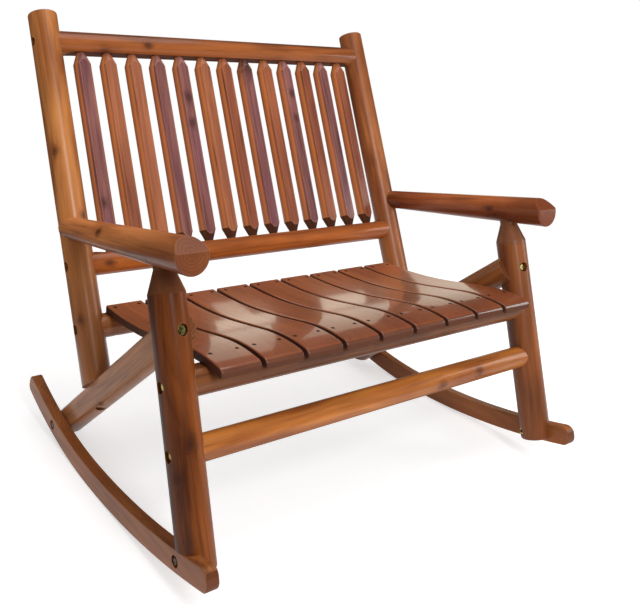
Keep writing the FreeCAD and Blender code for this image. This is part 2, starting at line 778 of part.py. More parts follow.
def rails():
    back_copes = [post_cope(back_line, back_axis, "back_post_radius", side * size("back_post_offset"))
                  for side in SIDES.values()]
    front_copes = [post_cope(front_line, front_axis, "front_post_radius", side * size("front_post_offset"))
                   for side in SIDES.values()]
    half_run = size("back_post_offset") - size("back_post_radius") - size("rail_flat_margin")
    for name, middle, outward in (("back_top_rail", back_top_rail_middle, back_axis * -1),
                                  ("back_bottom_rail", back_bottom_rail_middle, back_axis)):
        radius = name + "_radius"
        flat = planed_flat(middle, outward, "Sizes.%s - Sizes.rail_flat_depth" % radius, half_run)
        holes = spindle_holes(middle, radius, outward * -1)
        rail(name, middle, radius, "back_post_offset", back_copes, flat, holes)
    for name, middle, angle, radius, offset, copes in (
            ("rear_seat_rail", rear_seat_rail_middle, rear_rail_angle, "rear_seat_rail_radius",
             "back_post_offset", back_copes),
            ("front_seat_rail", front_seat_rail_middle, front_rail_angle, "front_seat_rail_radius",
             "front_post_offset", front_copes)):
        normal = rise_normal(angle)
        top = middle + normal * (size(radius) - size("seat_flat_depth"))
        flat = block(top, normal, "3 * Sizes.front_post_offset", "4 * Sizes.front_seat_rail_radius",
                     "2 * Sizes.front_seat_rail_radius")
        rail(name, middle, radius, offset, copes, flat)
    rail("front_stretcher", stretcher_middle, "stretcher_radius", "front_post_offset", front_copes)


def back_spindles():
    span = (back_top_rail_middle - back_bottom_rail_middle).Length
    low = back_bottom_rail_middle + back_axis * (
        size("back_bottom_rail_radius") - size("rail_flat_depth") + size("fit_gap"))
    clear = span - size("back_bottom_rail_radius") - size("back_top_rail_radius")
    clear += 2 * size("rail_flat_depth") - 2 * size("fit_gap")
    tenon, full = "Sizes.spindle_tenon_radius", "Sizes.spindle_radius"
    tenon_end = "Sizes.spindle_tenon_length"
    cone_end = "Sizes.spindle_tenon_length + Sizes.spindle_cone_length"
    upper_cone = work("spindle_upper_cone", size("spindle_tenon_length") + clear - size("spindle_cone_length"))
    upper_tenon = work("spindle_upper_tenon", size("spindle_tenon_length") + clear)
    top = "Worked.spindle_upper_tenon + Sizes.spindle_tenon_length"
    start = low - back_axis * size("spindle_tenon_length")
    for number, offset in enumerate(spindle_offsets(), start=1):
        body = turned("Spindle%02d" % number, [
            ("0", "0"), (tenon, "0"), (tenon, tenon_end), (full, cone_end), (full, upper_cone),
            (tenon, upper_tenon), (tenon, top), ("0", top),
        ], at_side(start, offset), back_axis)
        face = at_side(start + back_axis * (span / 2) + back_normal * size("spindle_flat"), offset)
        flat = block(face, back_normal, "4 * Sizes.spindle_radius", "2 * Worked.spindle_upper_tenon",
                     "2 * Sizes.spindle_radius")
        sub_part("back_spindle_%02d" % number, cut(body, flat))


# Seat slats

def slat_profile(sketch):
    # the slat's long section, drawn from the rear top edge forwards and back along the underside
    thickness = size("slat_thickness")
    quarter = math.pi / 2
    hollow = flat_point(hollow_centre.y, hollow_centre.z)
    crown = flat_point(crown_centre.y, crown_centre.z)
    rear_turn, rise_turn, front_turn = -seat_rear_angle, -seat_rise_angle, -seat_front_angle

    def hollow_arc(radius):
        return Part.ArcOfCircle(Part.Circle(hollow, UP, radius), rise_turn - quarter, rear_turn - quarter)

    def crown_arc(radius):
        return Part.ArcOfCircle(Part.Circle(crown, UP, radius), quarter + rise_turn, quarter + front_turn)

    def section(centre, radius, angle, sign):
        normal = rise_normal(angle)
        return centre + flat_point(normal.y, normal.z) * (sign * radius)

    hollow_radius, crown_radius = size("seat_hollow_radius"), size("seat_crown_radius")
    points = {}
    for layer, drop in (("top", 0), ("under", thickness)):
        points[layer] = [
            section(hollow, hollow_radius + drop, seat_rear_angle, -1),
            section(hollow, hollow_radius + drop, seat_rise_angle, -1),
            section(crown, crown_radius - drop, seat_rise_angle, 1),
            section(crown, crown_radius - drop, seat_front_angle, 1),
        ]
    sketch.addGeometry([
        hollow_arc(hollow_radius),
        Part.LineSegment(points["top"][1], points["top"][2]),
        crown_arc(crown_radius),
        Part.LineSegment(points["top"][3], points["under"][3]),
        crown_arc(crown_radius - thickness),
        Part.LineSegment(points["under"][2], points["under"][1]),
        hollow_arc(hollow_radius + thickness),
        Part.LineSegment(points["under"][0], points["top"][0]),
    ], False)
    for first, first_end, second, second_end in (
            (0, 1, 1, 1), (1, 2, 2, 1), (2, 2, 3, 1), (3, 2, 4, 2),
            (4, 1, 5, 1), (5, 2, 6, 1), (6, 2, 7, 1), (7, 2, 0, 2)):
        sketch.addConstraint(Sketcher.Constraint("Coincident", first, first_end, second, second_end))
    for number, name, formula in (
            (0, "hollow", "Sizes.seat_hollow_radius"),
            (2, "crown", "Sizes.seat_crown_radius"),
            (4, "crownUnder", "Sizes.seat_crown_radius - Sizes.slat_thickness"),
            (6, "hollowUnder", "Sizes.seat_hollow_radius + Sizes.slat_thickness")):
        bind_datum(sketch, name, Sketcher.Constraint("Radius", number, worth(formula)), formula)
    return points


def runs_across_at(point):
    # chooses the edge along X through a point of the side section
    return lambda edge: len(edge.Vertexes) == 2 and all(
        math.hypot(vertex.Point.y - point.x, vertex.Point.z - point.y) < TOUCH for vertex in edge.Vertexes)


def seat_slat(number, offset):
    body = new_body("Slat%d" % number)
    sketch = new_sketch(body, "YZ_Plane")
    points = slat_profile(sketch)
    pad = body.newObject("PartDesign::Pad", body.Name + "Pad")
    pad.Profile = sketch
    pad.SideType = "Symmetric"
    bind(pad, Length="Sizes.slat_width")
    nose = runs_across_at(points["top"][3])
    round_edges(body, "Sizes.slat_nose_round", nose)
    half = size("slat_width") / 2
    low_front = runs_across_at(points["under"][3])
    ends = [runs_across_at(points["top"][0]), runs_across_at(points["under"][0]), low_front]

    def along_the_side(edge):
        on_side = all(abs(abs(vertex.Point.x) - half) < TOUCH for vertex in edge.Vertexes)
        return on_side and edge.Length > size("slat_thickness")

    round_edges(body, "Sizes.slat_edge_round",
                lambda edge: along_the_side(edge) or any(test(edge) for test in ends))
    body.Placement = FreeCAD.Placement(ALONG_X * offset, FreeCAD.Rotation())
    name = "seat_slat_%d" % number
    sub_part(name, drilled(name, body))


# Rockers

def rocker_profile(sketch):
    quarter = math.pi / 2
    depth = size("rocker_depth")
    corners = {}
    arcs = []
    for end, sign in (("front", -1), ("rear", 1)):
        radius = size("rocker_%s_radius" % end)
        turn = math.asin(size("rocker_%s_reach" % end) / radius)
        centre = flat_point(0, radius)
        spread = sorted((-quarter, sign * turn - quarter))
        for drop in (0, depth):
            arcs.append(Part.ArcOfCircle(Part.Circle(centre, UP, radius - drop), *spread))
            corners[end, drop] = flat_point(sign * math.sin(turn) * (radius - drop),
                                            radius - math.cos(turn) * (radius - drop))
    end_lines = [Part.LineSegment(corners[end, 0], corners[end, depth]) for end in ("front", "rear")]
    sketch.addGeometry(arcs + end_lines, False)
    for first, first_end, second, second_end in (
            (0, 2, 2, 1), (2, 2, 5, 1), (5, 2, 3, 2), (3, 1, 1, 2), (1, 1, 4, 2), (4, 1, 0, 1)):
        sketch.addConstraint(Sketcher.Constraint("Coincident", first, first_end, second, second_end))
    for number, name, formula in (
            (0, "frontUnder", "Sizes.rocker_front_radius"),
            (1, "frontTop", "Sizes.rocker_front_radius - Sizes.rocker_depth"),
            (2, "rearUnder", "Sizes.rocker_rear_radius"),
            (3, "rearTop", "Sizes.rocker_rear_radius - Sizes.rocker_depth")):
        bind_datum(sketch, name, Sketcher.Constraint("Radius", number, worth(formula)), formula)
    return corners


def rocker(hand, side):
    body = new_body("Rocker" + hand.title())
    sketch = new_sketch(body, "YZ_Plane")
    corners = rocker_profile(sketch)
    pad = body.newObject("PartDesign::Pad", body.Name + "Pad")
    pad.Profile = sketch
    pad.Reversed = side < 0
    bind(pad, Length="Sizes.rocker_thickness")
    for end in ("front", "rear"):
        tests = [runs_across_at(corners[end, drop]) for drop in (0, size("rocker_depth"))]
        round_edges(body, "Sizes.rocker_%s_round" % end, lambda edge: any(test(edge) for test in tests))
    outer = side * size("rocker_thickness")

    def on_a_face(edge):
        places = [vertex.Point.x for vertex in edge.Vertexes]
        return any(all(abs(place - face) < TOUCH for place in places) for face in (0, outer))

    round_edges(body, "Sizes.rocker_edge_round", on_a_face)
    body.Placement = FreeCAD.Placement(ALONG_X * (side * size("rocker_inner_face")), FreeCAD.Rotation())
    name = "rocker_" + hand
    sub_part(name, drilled(name, body))


def bench():
    plan_joinery()
    for hand, side in SIDES.items():
        front_post(hand, side)
        back_post(hand, side)
        arm(hand, side)
        side_brace(hand, side)
        rocker(hand, side)
    rails()
    back_spindles()
    for number, offset in enumerate(slat_offsets(), start=1):
        seat_slat(number, offset)
    for kind, pieces in joinery.pieces.items():
        sub_part(kind, group(pieces))


def check():
    # every feature has been made, and every sub-part is a valid solid or set of solids
    doc.recompute()
    for thing in doc.Objects:
        if "Invalid" in thing.State or "Error" in thing.State:
            raise RuntimeError("%s (%s) failed: %s" % (thing.Name, thing.Label, thing.State))
    for piece in subparts:
        if piece.Shape.isNull() or not piece.Shape.isValid() or not piece.Shape.Solids:
            raise RuntimeError("%s has no valid solid" % piece.Label)
        wooden = piece.TypeId != "Part::Compound"
        if wooden and len(piece.Shape.Solids) != 1:
            raise RuntimeError("%s has %d solids" % (piece.Label, len(piece.Shape.Solids)))


def write():
    os.makedirs("parts", exist_ok=True)
    for piece in subparts:
        piece.Shape.exportStep(os.path.join("parts", piece.Label + ".step"))
    print("sub-parts:", len(subparts), "solids:", sum(len(piece.Shape.Solids) for piece in subparts))


bench()
check()
write()
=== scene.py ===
import math

import bpy
import numpy as np
from mathutils import Matrix, Vector


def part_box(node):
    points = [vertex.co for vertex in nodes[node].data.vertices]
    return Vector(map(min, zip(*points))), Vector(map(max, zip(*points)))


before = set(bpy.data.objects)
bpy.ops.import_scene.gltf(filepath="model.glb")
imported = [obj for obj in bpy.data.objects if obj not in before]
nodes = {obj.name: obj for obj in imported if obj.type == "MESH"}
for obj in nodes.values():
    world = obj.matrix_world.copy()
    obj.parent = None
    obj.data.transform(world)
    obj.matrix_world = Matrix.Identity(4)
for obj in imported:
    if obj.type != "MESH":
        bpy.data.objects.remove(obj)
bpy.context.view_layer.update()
print("frame loaded:", len(nodes), "nodes")


def paint(red, green, blue):
    # a screen colour, 0 to 255, as the linear colour that shaders use
    def linear(part):
        part = part / 255
        return part / 12.92 if part <= 0.04045 else ((part + 0.055) / 1.055) ** 2.4
    return (linear(red), linear(green), linear(blue), 1.0)


class Wire:
    # one output of a shader node; arithmetic on it adds Math nodes
    def __init__(self, finish, socket):
        self.finish = finish
        self.socket = socket

    def __add__(self, other):
        return self.finish.maths("ADD", self, other)

    def __sub__(self, other):
        return self.finish.maths("SUBTRACT", self, other)

    def __rsub__(self, other):
        return self.finish.maths("SUBTRACT", other, self)

    def __mul__(self, other):
        return self.finish.maths("MULTIPLY", self, other)

    def __truediv__(self, other):
        return self.finish.maths("DIVIDE", self, other)

    def __rtruediv__(self, other):
        return self.finish.maths("DIVIDE", other, self)

    def __pow__(self, other):
        return self.finish.maths("POWER", self, other)

    def __rpow__(self, other):
        return self.finish.maths("POWER", other, self)

    __radd__ = __add__
    __rmul__ = __mul__

    def lesser(self, other):
        return self.finish.maths("MINIMUM", self, other)

    def greater(self, other):
        return self.finish.maths("MAXIMUM", self, other)

    def swing(self, amount):
        # a noise of 0 to 1 as a change of this size, half of it to either side
        return (self - 0.5) * amount

    def smooth(self, start, end):
        # 0 before start, 1 after end, soft between them
        return self.finish.node("ShaderNodeMapRange", {"interpolation_type": "SMOOTHSTEP"},
                                {"Value": self, "From Min": start, "From Max": end})


class Finish:
    # the nodes of one material, or of the world
    def __init__(self, owner):
        owner.use_nodes = True
        self.owner = owner
        self.tree = owner.node_tree
        self.tree.nodes.clear()

    def node(self, kind, settings=None, sockets=None, output=0):
        made = self.tree.nodes.new(kind)
        for name, value in (settings or {}).items():
            setattr(made, name, value)
        for key, value in (sockets or {}).items():
            if isinstance(value, Wire):
                self.tree.links.new(value.socket, made.inputs[key])
            else:
                made.inputs[key].default_value = value
        return Wire(self, made.outputs[output]) if made.outputs else None

    def maths(self, operation, *values):
        return self.node("ShaderNodeMath", {"operation": operation}, dict(enumerate(values)))

    def vectorMaths(self, operation, *values, output="Vector"):
        return self.node("ShaderNodeVectorMath", {"operation": operation}, dict(enumerate(values)), output)

    def scaled(self, vector, stretch, shift=(0, 0, 0)):
        return self.vectorMaths("MULTIPLY_ADD", vector, stretch, shift)

    def dot(self, first, second):
        return self.vectorMaths("DOT_PRODUCT", first, second, output="Value")

    def length(self, vector):
        return self.vectorMaths("LENGTH", vector, output="Value")

    def noise(self, vector, stretch, seed, detail):
        place = self.scaled(vector, stretch, (seed, seed * 0.7, seed * 1.3))
        return self.node("ShaderNodeTexNoise", {}, {"Vector": place, "Scale": 1.0, "Detail": detail})

    def blend(self, share, first, second):
        # a Mix node's colours are its sockets 6 and 7, and come out of socket 2
        return self.node("ShaderNodeMix", {"data_type": "RGBA"}, {0: share, 6: first, 7: second}, 2)

    def glow(self, colour, strength):
        return self.node("ShaderNodeEmission", {}, {"Color": colour, "Strength": strength})

    def either(self, share, first, second):
        return self.node("ShaderNodeMixShader", {}, {0: share, 1: first, 2: second})

    def close(self, shader, kind="ShaderNodeOutputMaterial"):
        self.node(kind, {}, {"Surface": shader})
        return self.owner


def dress(name, material):
    mesh = nodes[name].data
    mesh.materials.clear()
    mesh.materials.append(material)


# the varnished logs; every other wooden piece starts from this look. Scales are noise cells per metre
# across, across and along the grain, and spans are where a change begins and where it is whole
logLook = {
    "pale": paint(196, 118, 58),
    "deep": paint(128, 62, 26),
    "grain": (),                      # direction of the grain, where it isn't the piece's longest
    "seedStart": 0,
    "seedStep": 17.3,                 # from one piece of a kind to the next
    "pithOffset": (0.004, -0.006),
    "wander": 0.035,
    "wanderScale": (1.5, 1.5, 1.7),
    "ringsPerMetre": 150,
    "ringShift": 1.5,                 # rings by which the patches move the figure
    "lateStart": 0.1,                 # where in a ring its dark wood begins, and is darkest
    "latePeak": 0.85,
    "lateMean": 0.4,
    "figure": 0.16,                   # how much rings, streaks, fibres and patches change the tone
    "streaks": 1.5,
    "fibres": 0.5,
    "patches": 1.8,
    "patchScale": (14, 14, 4),
    "streakScale": (50, 50, 3.0),
    "fibreScale": (320, 320, 14),
    "paleSide": (1, 0, 0),            # painted light and shade: the tone is lighter on the side turned this way and darker opposite
    "paleShare": 0,
    "blush": paint(140, 66, 40),
    "blushScale": (16, 16, 5),
    "blushSpan": (0.44, 0.68),
    "blushShare": 0.5,
    "lineScale": (150, 150, 5),       # dark pores along the grain
    "lineSpan": (0.56, 0.72),
    "lineShare": 0.3,
    "knot": paint(52, 24, 12),
    "knotCells": (9, 9, 3.4),
    "knotShare": 0.1,                 # of a cell, that a scattered knot takes
    "knotChance": 0.3,                # of a cell to hold one
    "knotPull": 3.0,                  # rings by which a knot bends the figure
    "raggedScale": (90, 90, 45),
    "sap": paint(178, 104, 62),
    "sapShare": 0,
    "sapSpan": (0.72, 0.5),
    "sapSwing": 0.25,
    "heartSide": (0, -0.91, 0.42),    # where a spindle is planed
    "cut": paint(128, 78, 50),
    "cutShare": 0,
    "cutSpan": (),                    # points between which the colour turns to this one: the wood's own change, or painted shade
    "cutSwing": 0.006,
    "under": paint(74, 38, 22),       # painted shade on faces turned this way
    "underSide": (0, 0, -1),
    "underSpan": (0.75, 0.9),
    "underShare": 0,
    "underMatt": 0.35,
    "underBare": 0.95,                # share of the coat taken away on the faces with painted shade
    "end": paint(92, 48, 24),
    "endSpan": (0.55, 0.7),
    "endShare": 0.76,
    "endRings": 0.18,
    "endPatches": 0.6,
    "endMatt": 0.15,
    # edge colour: partly real wear, partly painted highlight, and on the slats painted shade
    "wear": paint(190, 128, 90),
    "wearWidth": 0.0025,
    "wearSpan": (0.998, 0.95),
    "wearLeast": 0.25,
    "wearShare": 0.35,
    "swellScale": (20, 20, 6),
    "swell": 1.0,
    "grit": 0.08,
    "ringRise": 0.04,
    "knotDip": 0.3,
    "bumpDepth": 0.0010,
    "roughness": 0.42,
    "fibreMatt": 0.2,
    "knotMatt": 0.1,
    "shine": 0.15,
    "coat": 0.4,
    "coatRoughness": 0.14,
}

# each noise's own seed and detail
woodNoises = {
    "ragged": (2, 2.0),
    "patch": (3, 2.0),
    "streak": (5, 3.0),
    "fibre": (7, 2.0),
    "blush": (11, 2.0),
    "swell": (13, 1.0),
    "line": (17, 2.0),
}

# a knot's parts, in its own radii: each fades in from the first distance to the second
knotShape = {
    "heart": (1.3, 0.3),
    "rimOutside": (1.6, 1.1),
    "rimInside": (0.6, 1.0),
    "halo": (2.8, 0.9),
    "heartShare": 0.62,
    "heartLoops": 0.12,
    "rimShare": 0.3,
    "rimLoops": 0.4,
    "haloShare": 0.5,
    "loops": 11,                      # how closely its own rings lie
    "flat": 0.7,                      # a length along the grain counts this much
    "ragged": 1.3,
    "raggedReach": 3,
    "away": 9,                        # how far off a knot is in a cell without one
    "drawBlur": 0.02,
}


def longestWay(name):
    points = np.array([vertex.co for vertex in nodes[name].data.vertices], float)
    spread = points - points.mean(0)
    along = Vector(np.linalg.eigh(spread.T @ spread)[1][:, -1])
    return along if along.z + along.y + along.x > 0 else -along


def nearestKnot(finish, wood, look, seed, known, ragged):
    # distance in the knot's own radii: a few scattered ones, and those at known places
    cells = finish.scaled(wood, look["knotCells"], (seed, seed, seed))
    apart = finish.node("ShaderNodeTexVoronoi", {}, {"Vector": cells, "Scale": 1.0})
    drawn = finish.node("ShaderNodeTexVoronoi", {}, {"Vector": cells, "Scale": 1.0}, "Color")
    drawn = finish.node("ShaderNodeSeparateColor", {}, {"Color": drawn})
    empty = drawn.smooth(look["knotChance"], look["knotChance"] + knotShape["drawBlur"])
    near = apart / look["knotShare"] + empty * knotShape["away"]
    flat = Vector((1, 1, knotShape["flat"]))
    pressed = finish.scaled(wood, flat)
    for point, size in known:
        gap = finish.vectorMaths("DISTANCE", pressed, point * flat, output="Value")
        near = near.lesser(gap / size)
    return near + ragged.swing(near.lesser(knotShape["raggedReach"])) * knotShape["ragged"]


def dressWood(name, look, number, knots=()):
    finish = Finish(bpy.data.materials.new(name + "Wood"))
    seed = look["seedStart"] + number * look["seedStep"]
    low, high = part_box(name)
    along = Vector(look["grain"] or longestWay(name))
    turn = Vector((0, 0, 1)).rotation_difference(along)
    pith = (low + high) / 2 + turn @ Vector((*look["pithOffset"], 0))
    place = finish.node("ShaderNodeTexCoord", output="Object")
    outward = finish.node("ShaderNodeTexCoord", output="Normal")
    wood = finish.node("ShaderNodeMapping", {"vector_type": "TEXTURE"},
                       {"Vector": place, "Location": pith, "Rotation": turn.to_euler()})

    def noise(kind):
        shift, detail = woodNoises[kind]
        return finish.noise(wood, look[kind + "Scale"], seed + shift, detail)

    patch = noise("patch")
    streak = noise("streak")
    fibre = noise("fibre")

    known = [(turn.inverted() @ (Vector(point) - pith), size) for point, size in knots]
    near = nearestKnot(finish, wood, look, seed, known, noise("ragged"))
    heart = near.smooth(*knotShape["heart"])
    halo = near.smooth(*knotShape["halo"])
    loops = finish.maths("SINE", near * knotShape["loops"])
    rim = near.smooth(*knotShape["rimOutside"]) * near.smooth(*knotShape["rimInside"])
    rim = rim * (loops * knotShape["rimLoops"] + (1 - knotShape["rimLoops"]))
    pull = (near * near + 1) ** -2

    # growth rings round a wandering pith, which close into loops round each knot
    wander = finish.scaled(wood, look["wanderScale"], (seed, 0, seed))
    wander = finish.node("ShaderNodeTexNoise", {}, {"Vector": wander, "Scale": 1.0, "Detail": 1.0}, "Color")
    wander = finish.scaled(wander, (look["wander"],) * 3, (-look["wander"] / 2,) * 3)
    bent = finish.vectorMaths("ADD", wood, wander)
    radius = finish.length(finish.scaled(bent, (1, 1, 0)))
    turns = radius * look["ringsPerMetre"] + patch * look["ringShift"] + pull * look["knotPull"]
    ring = finish.maths("FRACT", turns)
    late = ring.smooth(look["lateStart"], look["latePeak"]) * ring.smooth(1.0, look["latePeak"])

    # the stain takes unevenly; on some pieces the side turned to the light is painted lighter and the far
    # side darker, as painted light and shade
    tone = (late - look["lateMean"]) * look["figure"] + streak.swing(look["streaks"])
    tone = tone + fibre.swing(look["fibres"]) + patch.swing(look["patches"]) + 0.5
    if look["paleShare"]:
        tone = tone - finish.dot(outward, look["paleSide"]) * look["paleShare"]
    colour = finish.blend(tone.greater(0).lesser(1), look["pale"], look["deep"])
    blush = noise("blush").smooth(*look["blushSpan"])
    colour = finish.blend(blush * look["blushShare"], colour, look["blush"])
    lines = noise("line").smooth(*look["lineSpan"])
    colour = finish.blend(lines * look["lineShare"], colour, look["knot"])

    # sapwood is left where a spindle keeps its round, heartwood shows where it is planed
    if look["sapShare"]:
        face = finish.dot(outward, look["heartSide"]) + streak.swing(look["sapSwing"])
        colour = finish.blend(face.smooth(*look["sapSpan"]) * look["sapShare"], colour, look["sap"])

    # along a piece its colour may turn to another, as on a post's cone or towards a slat's front; on the
    # back-left post this is painted shade below the arm
    if look["cutShare"]:
        height = finish.node("ShaderNodeSeparateXYZ", {}, {0: wood}, "Z") + streak.swing(look["cutSwing"])
        start, end = ((Vector(point) - pith).dot(along) for point in look["cutSpan"])
        colour = finish.blend(height.smooth(start, end) * look["cutShare"], colour, look["cut"])

    # the knots' own colours lie over the rest
    colour = finish.blend(halo * knotShape["haloShare"], colour, look["deep"])
    dark = heart * (loops * knotShape["heartLoops"] + knotShape["heartShare"]) + rim * knotShape["rimShare"]
    colour = finish.blend(dark.lesser(1), colour, look["knot"])
    matt = heart * look["knotMatt"]

    # painted shade: faces turned this way are darkened, and lose much of their coat and gloss
    varnish = look["coat"]
    if look["underShare"]:
        under = finish.dot(outward, look["underSide"]).smooth(*look["underSpan"])
        colour = finish.blend(under * look["underShare"], colour, look["under"])
        matt = matt + under * look["underMatt"]
        varnish = (1 - under * look["underBare"]) * look["coat"]

    # the log's ends show the rings head on and take more stain
    ends = finish.maths("ABSOLUTE", finish.dot(outward, along)).smooth(*look["endSpan"])
    share = ends * (late * look["endRings"] + look["endShare"] + patch.swing(look["endPatches"]))
    colour = finish.blend(share, colour, look["end"])

    # edge lines: partly stain rubbed thin or gathered, partly a painted highlight on the spindles' and
    # arms' edges and painted shade along the slats' gaps
    rounded = finish.node("ShaderNodeBevel", {"samples": 4}, {"Radius": look["wearWidth"]})
    level = finish.dot(rounded, finish.node("ShaderNodeNewGeometry", output="Normal"))
    wear = level.smooth(*look["wearSpan"]) * (streak + look["wearLeast"]).lesser(1)
    colour = finish.blend(wear * look["wearShare"], colour, look["wear"])

    height = fibre * look["grit"] + late * look["ringRise"] + noise("swell") * look["swell"]
    bump = finish.node("ShaderNodeBump", {}, {
        "Height": height - heart * look["knotDip"],
        "Strength": 1.0,
        "Distance": look["bumpDepth"],
    })
    shader = finish.node("ShaderNodeBsdfPrincipled", {}, {
        "Base Color": colour,
        "Roughness": fibre.swing(look["fibreMatt"]) + look["roughness"] + matt + ends * look["endMatt"],
        "Specular IOR Level": look["shine"],
        "Coat Weight": varnish,
        "Coat Roughness": look["coatRoughness"],
        "Normal": bump,
    })
    dress(name, finish.close(shader))


def stain(pale, deep, blush=None, **more):
    # a look from the log's own, with its colours as seen on a screen
    return dict(logLook, pale=paint(*pale), deep=paint(*deep), blush=paint(*(blush or deep)), **more)


logStains = {
    # painted shade: the back-left post turns darker below the arm
    "back_post_left": stain((206, 133, 68), (142, 78, 35), (172, 102, 50), coat=0.7, coatRoughness=0.3,
                            cut=paint(112, 60, 32), cutShare=0.6,
                            cutSpan=((-0.5, 0.19, 0.54), (-0.5, 0.12, 0.36))),
    "back_post_right": stain((182, 110, 60), (114, 60, 30), (146, 80, 44), coat=0.4, coatRoughness=0.3),
    # painted light: the front posts are lighter on their right-front side and darker on the left
    "front_post_left": stain((136, 72, 28), (70, 32, 13), (98, 48, 19), coat=0.2, coatRoughness=0.25,
                             shine=0.06, paleSide=(0.94, -0.34, 0), paleShare=0.55,
                             cut=paint(112, 68, 44), cutShare=0.6,
                             cutSpan=((-0.515, -0.2660, 0.560), (-0.515, -0.2660, 0.562))),
    "front_post_right": stain((156, 88, 42), (94, 50, 24), (128, 70, 38), coat=0.3, coatRoughness=0.28,
                              paleSide=(0.9, -0.4, 0), paleShare=0.15, cut=paint(118, 74, 50), cutShare=0.6,
                              cutSpan=((0.515, -0.2695, 0.550), (0.515, -0.2695, 0.552))),
    # painted light: the arms are lighter on top and darker down their sides
    "arm_left": stain((210, 130, 72), (102, 50, 22), (148, 76, 38), coat=0.25, end=paint(108, 56, 28),
                      paleSide=(-0.1, -0.1, 1), paleShare=0.75, cut=paint(116, 60, 32), cutShare=0.5,
                      cutSpan=((-0.5, -0.08, 0.62), (-0.5, -0.30, 0.62))),
    "arm_right": stain((180, 100, 54), (98, 46, 24), (132, 62, 34), coat=0.25, end=paint(116, 56, 28),
                       paleSide=(-0.2, -0.2, 1), paleShare=0.4, cut=paint(92, 44, 24), cutShare=0.6,
                       cutSpan=((0.5, -0.16, 0.62), (0.5, -0.31, 0.62))),
    # painted light: the left brace is stained lighter and paler than the right one, for the light and sheen
    # on its outer face
    "side_brace_left": stain((188, 124, 76), (134, 82, 48), coat=0.25, shine=0.1),
    "side_brace_right": stain((168, 104, 52), (112, 62, 32), coat=0.3),
    # painted light and shade: the back rails are lighter on their lower front and darker underneath
    "back_top_rail": stain((162, 90, 42), (94, 48, 26), (122, 64, 34), paleSide=(0, -0.7, -0.7),
                           paleShare=0.6, underShare=0.8),
    "back_bottom_rail": stain((180, 98, 40), (108, 54, 24), (134, 68, 34), paleSide=(0, -0.7, -0.7),
                              paleShare=0.45, underShare=0.6),
    "rear_seat_rail": stain((184, 114, 64), (132, 74, 40)),
    "front_seat_rail": stain((136, 80, 42), (84, 46, 24), coat=0.2),
    # painted shade: the stretcher is darker underneath
    "front_stretcher": stain((204, 126, 56), (142, 78, 34), (170, 96, 42), under=paint(136, 78, 38),
                             underSpan=(0.0, 0.8), underShare=0.55),
}

# knots that the logs are known by: a point on the surface and a radius, metres
logKnots = {
    "back_post_left": [((-0.533, 0.297, 0.732), 0.009), ((-0.491, 0.219, 0.591), 0.006),
                       ((-0.531, 0.126, 0.367), 0.007)],
    "front_post_left": [((-0.521, -0.366, 0.298), 0.010), ((-0.546, -0.371, 0.236), 0.008)],
    "arm_left": [((-0.544, 0.013, 0.608), 0.006), ((-0.546, -0.212, 0.612), 0.004)],
    "arm_right": [((0.484, -0.181, 0.626), 0.008)],
    "back_top_rail": [((-0.242, 0.404, 0.984), 0.007), ((-0.362, 0.412, 0.958), 0.010)],
    "front_stretcher": [((0.300, -0.364, 0.274), 0.010), ((0.168, -0.365, 0.264), 0.010)],
    "side_brace_left": [((-0.515, 0.036, 0.193), 0.006)],
    "back_bottom_rail": [((-0.440, 0.172, 0.480), 0.006)],
}
for number, (name, look) in enumerate(logStains.items()):
    dressWood(name, look, number, logKnots.get(name, ()))
print("logs finished")

# painted light and shade: the spindles' top cones are lighter and the bottom cones darker, and their pale
# edge lines are partly painted highlight
spindleLook = stain((164, 94, 60), (110, 56, 38), (134, 74, 58), pithOffset=(0.02, 0.03), ringsPerMetre=230,
                    streakScale=(90, 90, 5), sapShare=0.75, sap=paint(214, 132, 74), knotChance=0.0,
                    wear=paint(206, 138, 98), wearWidth=0.0035, wearSpan=(0.999, 0.972), wearShare=0.75,
                    shine=0.2, coat=0.3, under=paint(66, 34, 16), underSide=(0, -0.42, -0.91),
                    underSpan=(0.12, 0.26), underShare=0.85, paleSide=(0, 0.42, 0.91), paleShare=1.3,
                    seedStep=9.7)
plumLook = dict(spindleLook, pale=paint(150, 96, 88), deep=paint(92, 52, 54), blush=paint(118, 70, 86))
rosyLook = dict(spindleLook, pale=paint(178, 108, 72), deep=paint(122, 66, 44), blush=paint(150, 88, 64))
spindleLooks = {
    1: plumLook,
    2: rosyLook,
    3: rosyLook,
    4: plumLook,
    5: plumLook,
    6: rosyLook,
    8: plumLook,
    10: plumLook,
    12: plumLook,
}
spindleKnots = {
    1: [((-0.427, 0.244, 0.610), 0.006)],
    5: [((-0.140, 0.360, 0.855), 0.008), ((-0.140, 0.330, 0.790), 0.007)],
    8: [((0.071, 0.398, 0.945), 0.020)],
    10: [((0.213, 0.366, 0.868), 0.007), ((0.213, 0.335, 0.800), 0.006)],
}
for number in range(1, 14):
    look = spindleLooks.get(number, spindleLook)
    dressWood("back_spindle_%02d" % number, look, number, spindleKnots.get(number, ()))
print("spindles finished")

